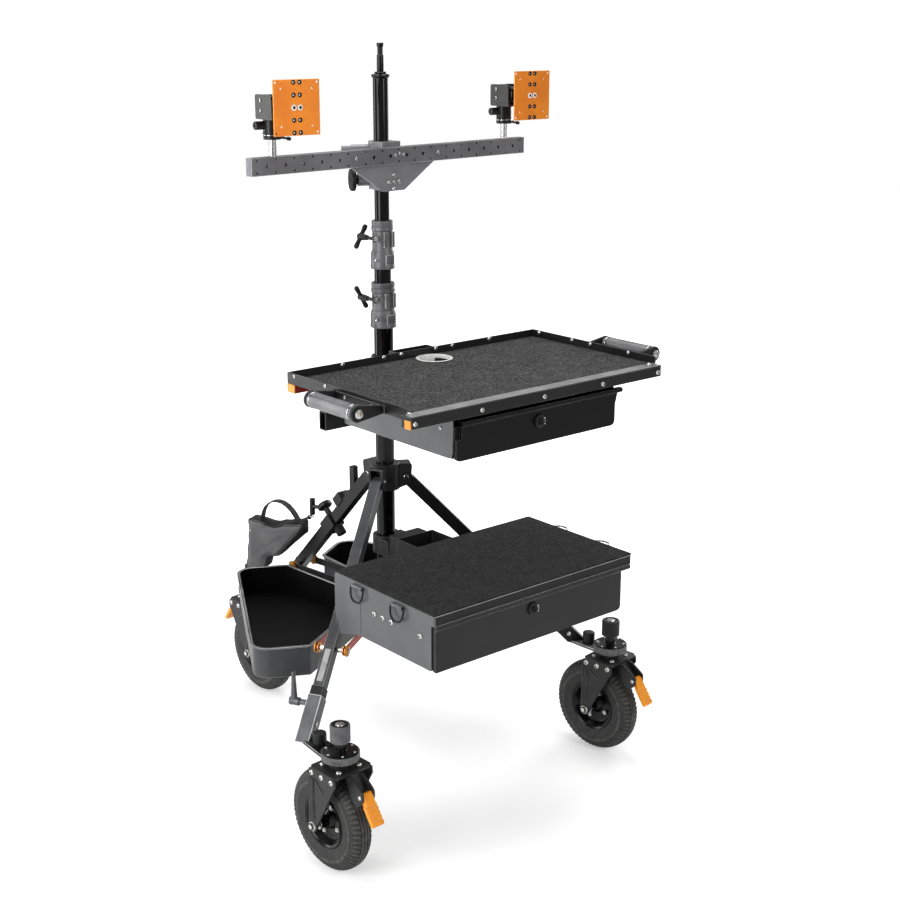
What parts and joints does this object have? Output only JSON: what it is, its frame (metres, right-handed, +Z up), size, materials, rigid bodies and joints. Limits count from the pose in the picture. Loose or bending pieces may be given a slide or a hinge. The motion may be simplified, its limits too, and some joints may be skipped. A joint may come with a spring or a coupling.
{
  "type": "camera cart",
  "caption": "Rolling tripod-legged camera cart with a telescopic mast, drilled monitor bar, felt work tray, drawers, leg bins and braked swivel casters.",
  "frame": {"origin": "middle of the whole cart's floor rectangle, on the floor", "axes": "+Z up along the mast; +X along the trays' long side, to the user's right; the drawers open towards -Y"},
  "size_m": [0.9817, 1.2482, 1.7526],
  "materials": {
    "gloss_black": "gloss black coat",
    "matt_black": "matt black coat",
    "anodised_grey": "dark grey anodised",
    "cast_grey": "cast grey, lightly textured",
    "sheet_grey": "grey coated sheet",
    "bright_steel": "bright turned steel",
    "orange": "satin orange coat",
    "red": "red anodised",
    "rubber": "dull black rubber",
    "felt": "short dark pile",
    "cloth": "grey woven nylon"
  },
  "bodies": {
    "base": {"mast_tube_lower": "gloss_black", "mast_clamp_lower": "cast_grey", "leg_hub": "cast_grey", "leg_upper_left": "sheet_grey", "leg_upper_right": "matt_black", "leg_upper_back": "matt_black", "brace_frame": "red", "bin_left": "sheet_grey", "bin_back": "sheet_grey", "bag": "cloth"},
    "lower_box": {"box_housing": "sheet_grey", "box_carpet": "felt", "box_mount": "matt_black"},
    "lower_drawer": {"lower_drawer": "matt_black"},
    "lower_latch": {"lower_latch": "matt_black"},
    "tray": {"tray_pan": "sheet_grey", "tray_felt": "felt", "tray_front_rail": "anodised_grey", "tray_rear_rail": "red", "tray_handle_left": "anodised_grey", "tray_handle_right": "anodised_grey", "tray_mount": "matt_black", "drawer_housing": "sheet_grey"},
    "upper_drawer": {"upper_drawer": "matt_black"},
    "upper_latch": {"upper_latch": "matt_black"},
    "mast_middle": {"mast_tube_middle": "gloss_black", "mast_clamp_upper": "cast_grey"},
    "mast_top": {"mast_top": "gloss_black"},
    "bar": {"crossbar": "anodised_grey", "bar_bracket": "matt_black", "post_left": "bright_steel", "post_right": "bright_steel"},
    "bar_knob": {"bar_knob": "matt_black"},
    "tee_handle_lower": {"tee_handle_lower": "matt_black"},
    "tee_handle_upper": {"tee_handle_upper": "matt_black"},
    "monitor_head_left": {"monitor_head_left": "anodised_grey"},
    "monitor_plate_left": {"monitor_plate_left": "orange"},
    "monitor_head_right": {"monitor_head_right": "anodised_grey"},
    "monitor_plate_right": {"monitor_plate_right": "orange"},
    "tie_ring_left_back": {"tie_ring_left_back": "bright_steel"},
    "tie_ring_left_front": {"tie_ring_left_front": "bright_steel"},
    "tie_ring_right_back": {"tie_ring_right_back": "bright_steel"},
    "tie_ring_right_front": {"tie_ring_right_front": "bright_steel"},
    "leg_lower_left": {"leg_lower_left": "sheet_grey"},
    "leg_lever_left": {"leg_lever_left": "matt_black"},
    "caster_fork_left": {"caster_fork_left": "matt_black"},
    "caster_wheel_left": {"caster_wheel_left": "rubber"},
    "brake_lever_left": {"brake_lever_left": "orange"},
    "leg_lower_right": {"leg_lower_right": "matt_black"},
    "leg_lever_right": {"leg_lever_right": "matt_black"},
    "caster_fork_right": {"caster_fork_right": "matt_black"},
    "caster_wheel_right": {"caster_wheel_right": "rubber"},
    "brake_lever_right": {"brake_lever_right": "orange"},
    "leg_lower_back": {"leg_lower_back": "matt_black"},
    "leg_lever_back": {"leg_lever_back": "matt_black"},
    "caster_fork_back": {"caster_fork_back": "matt_black"},
    "caster_wheel_back": {"caster_wheel_back": "rubber"},
    "brake_lever_back": {"brake_lever_back": "orange"}
  },
  "joints": [
    {"name": "lower_box_height", "type": "slide", "parent": "base", "child": "lower_box", "axis": [0, 0, 1], "range_m": [-0.02, 0.04]},
    {"name": "lower_drawer_slide", "type": "slide", "parent": "lower_box", "child": "lower_drawer", "axis": [0, -1, 0], "range_m": [0, 0.3]},
    {"name": "lower_latch_turn", "type": "hinge", "parent": "lower_drawer", "child": "lower_latch", "pos_m": [-0.02456, -0.6115, 0.5675], "axis": [0, -1, 0], "range_deg": [0, 90]},
    {"name": "tray_height", "type": "slide", "parent": "base", "child": "tray", "axis": [0, 0, 1], "range_m": [-0.12, 0.03]},
    {"name": "upper_drawer_slide", "type": "slide", "parent": "tray", "child": "upper_drawer", "axis": [0, -1, 0], "range_m": [0, 0.3]},
    {"name": "upper_latch_turn", "type": "hinge", "parent": "upper_drawer", "child": "upper_latch", "pos_m": [-0.00896, -0.6053, 0.987], "axis": [0, -1, 0], "range_deg": [0, 90]},
    {"name": "mast_lower_height", "type": "slide", "parent": "base", "child": "mast_middle", "axis": [0, 0, 1], "range_m": [-0.03, 0.25]},
    {"name": "mast_upper_height", "type": "slide", "parent": "mast_middle", "child": "mast_top", "axis": [0, 0, 1], "range_m": [-0.06, 0.28]},
    {"name": "bar_turn", "type": "hinge", "parent": "mast_top", "child": "bar", "pos_m": [-0.00896, -0.068, 1.508], "axis": [0, 0, 1], "range_deg": [-180, 180]},
    {"name": "bar_knob_turn", "type": "hinge", "parent": "bar", "child": "bar_knob", "pos_m": [-0.05998, -0.04421, 1.451], "axis": [-0.9063, 0.4226, 0], "continuous": true},
    {"name": "tee_handle_lower_turn", "type": "hinge", "parent": "base", "child": "tee_handle_lower", "pos_m": [-0.04196, -0.053, 1.17537], "axis": [0, 1, 0], "range_deg": [-180, 180]},
    {"name": "tee_handle_upper_turn", "type": "hinge", "parent": "mast_middle", "child": "tee_handle_upper", "pos_m": [-0.04071, -0.053, 1.31742], "axis": [0, 1, 0], "range_deg": [-180, 180]},
    {"name": "monitor_pan_left", "type": "hinge", "parent": "bar", "child": "monitor_head_left", "pos_m": [-0.35663, -0.14826, 1.562], "axis": [0, 0, 1], "continuous": true},
    {"name": "monitor_tilt_left", "type": "hinge", "parent": "monitor_head_left", "child": "monitor_plate_left", "pos_m": [-0.35736, -0.17825, 1.631], "axis": [0.9997, -0.0244, 0], "range_deg": [-60, 15]},
    {"name": "monitor_pan_right", "type": "hinge", "parent": "bar", "child": "monitor_head_right", "pos_m": [0.34509, -0.09156, 1.562], "axis": [0, 0, 1], "continuous": true},
    {"name": "monitor_tilt_right", "type": "hinge", "parent": "monitor_head_right", "child": "monitor_plate_right", "pos_m": [0.34509, -0.12156, 1.631], "axis": [1, 0, 0], "range_deg": [-60, 15]},
    {"name": "tie_ring_left_back_swing", "type": "hinge", "parent": "lower_box", "child": "tie_ring_left_back", "pos_m": [-0.30736, -0.351, 0.609], "axis": [0, 1, 0], "range_deg": [0, 165]},
    {"name": "tie_ring_left_front_swing", "type": "hinge", "parent": "lower_box", "child": "tie_ring_left_front", "pos_m": [-0.30736, -0.493, 0.609], "axis": [0, 1, 0], "range_deg": [0, 165]},
    {"name": "tie_ring_right_back_swing", "type": "hinge", "parent": "lower_box", "child": "tie_ring_right_back", "pos_m": [0.28944, -0.351, 0.609], "axis": [0, 1, 0], "range_deg": [-90, 78]},
    {"name": "tie_ring_right_front_swing", "type": "hinge", "parent": "lower_box", "child": "tie_ring_right_front", "pos_m": [0.28944, -0.493, 0.609], "axis": [0, 1, 0], "range_deg": [-90, 78]},
    {"name": "leg_length_left", "type": "slide", "parent": "base", "child": "leg_lower_left", "axis": [-0.5919, -0.3486, -0.7267], "range_m": [-0.03, 0.05]},
    {"name": "leg_lever_left_turn", "type": "hinge", "parent": "leg_lower_left", "child": "leg_lever_left", "pos_m": [-0.39417, -0.26844, 0.33017], "axis": [-0.5075, 0.8616, 0], "range_deg": [-90, 90]},
    {"name": "caster_swivel_left", "type": "hinge", "parent": "leg_lower_left", "child": "caster_fork_left", "pos_m": [-0.42866, -0.4458, 0.26], "axis": [0, 0, 1], "continuous": true},
    {"name": "wheel_spin_left", "type": "hinge", "parent": "caster_fork_left", "child": "caster_wheel_left", "pos_m": [-0.43049, -0.41085, 0.118], "axis": [0.9986, 0.0523, 0], "continuous": true},
    {"name": "brake_lever_left_press", "type": "hinge", "parent": "caster_fork_left", "child": "brake_lever_left", "pos_m": [-0.42426, -0.52968, 0.22], "axis": [0.9986, 0.0523, 0], "range_deg": [0, 28]},
    {"name": "leg_length_right", "type": "slide", "parent": "base", "child": "leg_lower_right", "axis": [0.5979, -0.3382, -0.7267], "range_m": [-0.03, 0.05]},
    {"name": "leg_lever_right_turn", "type": "hinge", "parent": "leg_lower_right", "child": "leg_lever_right", "pos_m": [0.37969, -0.26169, 0.33017], "axis": [0.4924, 0.8704, 0], "range_deg": [-90, 90]},
    {"name": "caster_swivel_right", "type": "hinge", "parent": "leg_lower_right", "child": "caster_fork_right", "pos_m": [0.43084, -0.4152, 0.26], "axis": [0, 0, 1], "continuous": true},
    {"name": "wheel_spin_right", "type": "hinge", "parent": "caster_fork_right", "child": "caster_wheel_right", "pos_m": [0.42657, -0.38046, 0.118], "axis": [0.9925, 0.1219, 0], "continuous": true},
    {"name": "brake_lever_right_press", "type": "hinge", "parent": "caster_fork_right", "child": "brake_lever_right", "pos_m": [0.44108, -0.49857, 0.22], "axis": [0.9925, 0.1219, 0], "range_deg": [0, 28]},
    {"name": "leg_length_back", "type": "slide", "parent": "base", "child": "leg_lower_back", "axis": [-0.0359, 0.686, -0.7267], "range_m": [-0.03, 0.05]},
    {"name": "leg_lever_back_turn", "type": "hinge", "parent": "leg_lower_back", "child": "leg_lever_back", "pos_m": [-0.00889, 0.36624, 0.33017], "axis": [0.9986, 0.0523, 0], "range_deg": [-90, 90]},
    {"name": "caster_swivel_back", "type": "hinge", "parent": "leg_lower_back", "child": "caster_fork_back", "pos_m": [-0.03956, 0.4989, 0.26], "axis": [0, 0, 1], "continuous": true},
    {"name": "wheel_spin_back", "type": "hinge", "parent": "caster_fork_back", "child": "caster_wheel_back", "pos_m": [-0.03785, 0.46394, 0.118], "axis": [-0.9988, -0.0489, 0], "continuous": true},
    {"name": "brake_lever_back_press", "type": "hinge", "parent": "caster_fork_back", "child": "brake_lever_back", "pos_m": [-0.04366, 0.5828, 0.22], "axis": [-0.9988, -0.0489, 0], "range_deg": [0, 28]}
  ]
}
